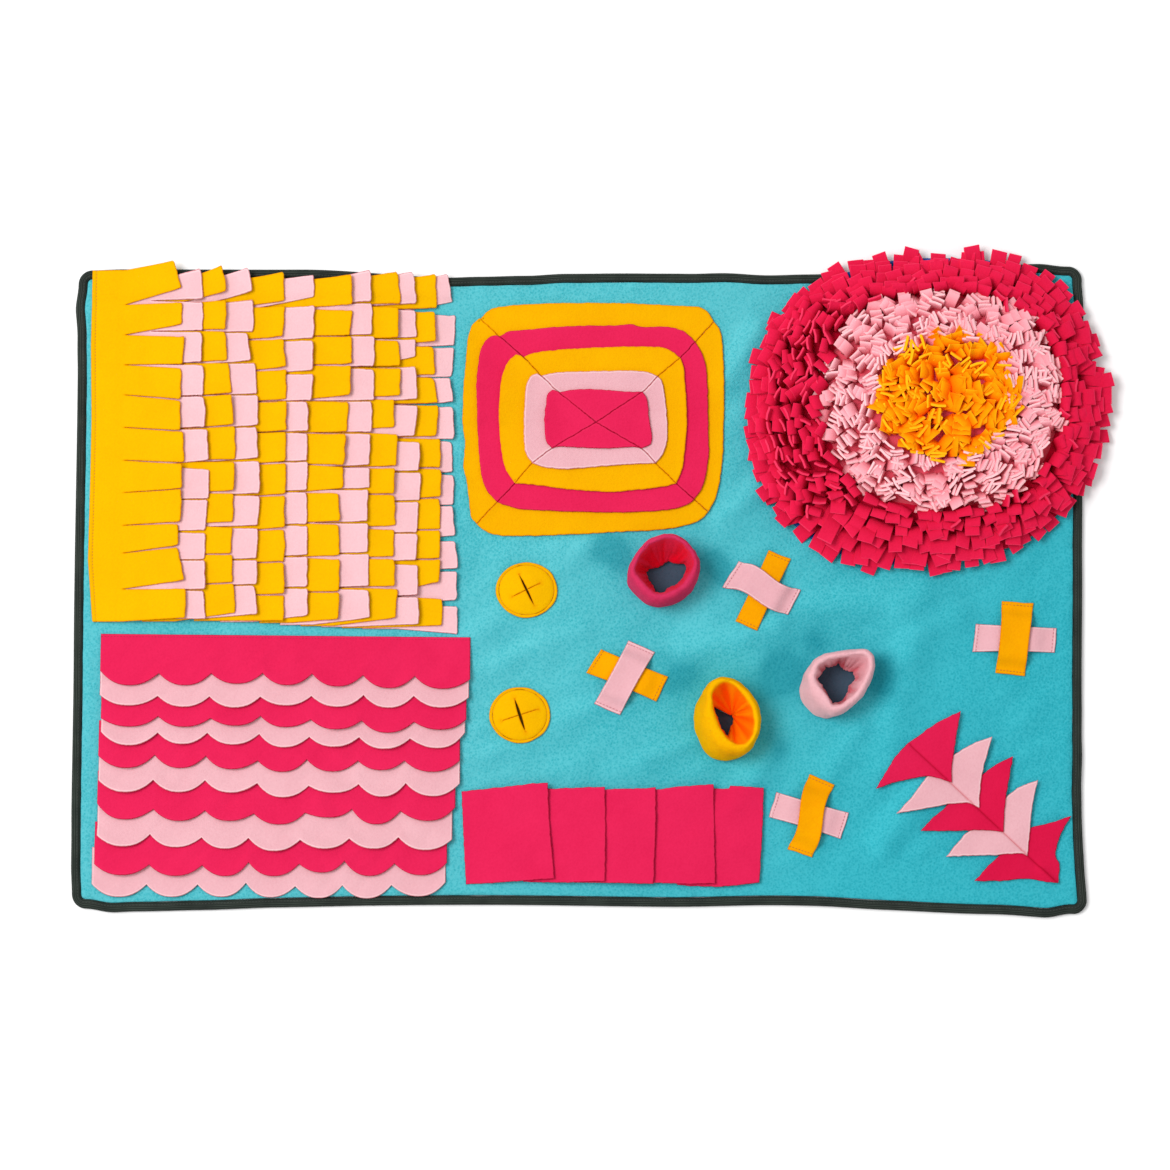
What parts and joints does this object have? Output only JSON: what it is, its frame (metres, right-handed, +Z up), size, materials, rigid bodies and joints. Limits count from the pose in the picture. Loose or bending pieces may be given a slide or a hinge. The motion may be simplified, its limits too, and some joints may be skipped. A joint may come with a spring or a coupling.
{
  "type": "snuffle mat",
  "caption": "Bound fleece foraging mat for a dog, lying flat, with sewn-on fringes, flaps, slit pockets, folded cups and a tufted flower that hide dry treats.",
  "frame": {"origin": "on the floor, under the middle of the bounding box of the whole object", "axes": "+Z up from the floor, +X along the mat's long side towards the tufted flower, +Y across the mat towards the long side that the flower and the fringed panel lie against"},
  "size_m": [1.029, 0.6648, 0.0486],
  "materials": {
    "teal_fleece": "napped polar fleece, mottled teal",
    "slate_backing": "plain woven backing cloth, slate blue",
    "binding_tape": "folded woven tape, dark charcoal green",
    "blue_patch": "plain fleece patch, royal blue",
    "yellow_fleece": "napped polar fleece, warm yellow",
    "light_pink_fleece": "napped polar fleece, light pink",
    "dark_pink_fleece": "napped polar fleece, dark pink"
  },
  "bodies": {
    "root": {"arrow_1": "dark_pink_fleece", "arrow_2": "light_pink_fleece", "arrow_3": "dark_pink_fleece", "arrow_4": "light_pink_fleece", "arrow_5": "dark_pink_fleece", "backing": "slate_backing", "cross_a_over": "light_pink_fleece", "cross_a_under": "yellow_fleece", "cross_b_over": "light_pink_fleece", "cross_b_under": "yellow_fleece", "cross_c_over": "yellow_fleece", "cross_c_under": "light_pink_fleece", "cross_d_over": "yellow_fleece", "cross_d_under": "light_pink_fleece", "cup_dark_pink": "dark_pink_fleece", "cup_light_pink": "light_pink_fleece", "cup_yellow": "yellow_fleece", "edge_binding": "binding_tape", "flower_light_ring": "light_pink_fleece", "flower_middle": "yellow_fleece", "flower_outer_ring": "dark_pink_fleece", "flower_patch": "blue_patch", "fringe_strip_01": "yellow_fleece", "fringe_strip_02": "light_pink_fleece", "fringe_strip_03": "yellow_fleece", "fringe_strip_04": "light_pink_fleece", "fringe_strip_05": "yellow_fleece", "fringe_strip_06": "light_pink_fleece", "fringe_strip_07": "yellow_fleece", "fringe_strip_08": "light_pink_fleece", "fringe_strip_09": "yellow_fleece", "fringe_strip_10": "light_pink_fleece", "fringe_strip_11": "yellow_fleece", "fringe_strip_12": "light_pink_fleece", "pleat_1": "dark_pink_fleece", "pleat_2": "dark_pink_fleece", "pleat_3": "dark_pink_fleece", "pleat_4": "dark_pink_fleece", "pleat_5": "dark_pink_fleece", "pocket_lower": "yellow_fleece", "pocket_upper": "yellow_fleece", "ring_layer_1": "yellow_fleece", "ring_layer_2": "dark_pink_fleece", "ring_layer_3": "yellow_fleece", "ring_layer_4": "light_pink_fleece", "ring_layer_5": "dark_pink_fleece", "scallop_strip_01": "dark_pink_fleece", "scallop_strip_02": "light_pink_fleece", "scallop_strip_03": "dark_pink_fleece", "scallop_strip_04": "light_pink_fleece", "scallop_strip_05": "dark_pink_fleece", "scallop_strip_06": "light_pink_fleece", "scallop_strip_07": "dark_pink_fleece", "scallop_strip_08": "light_pink_fleece", "scallop_strip_09": "dark_pink_fleece", "scallop_strip_10": "light_pink_fleece", "top_fleece": "teal_fleece"}
  },
  "joints": []
}
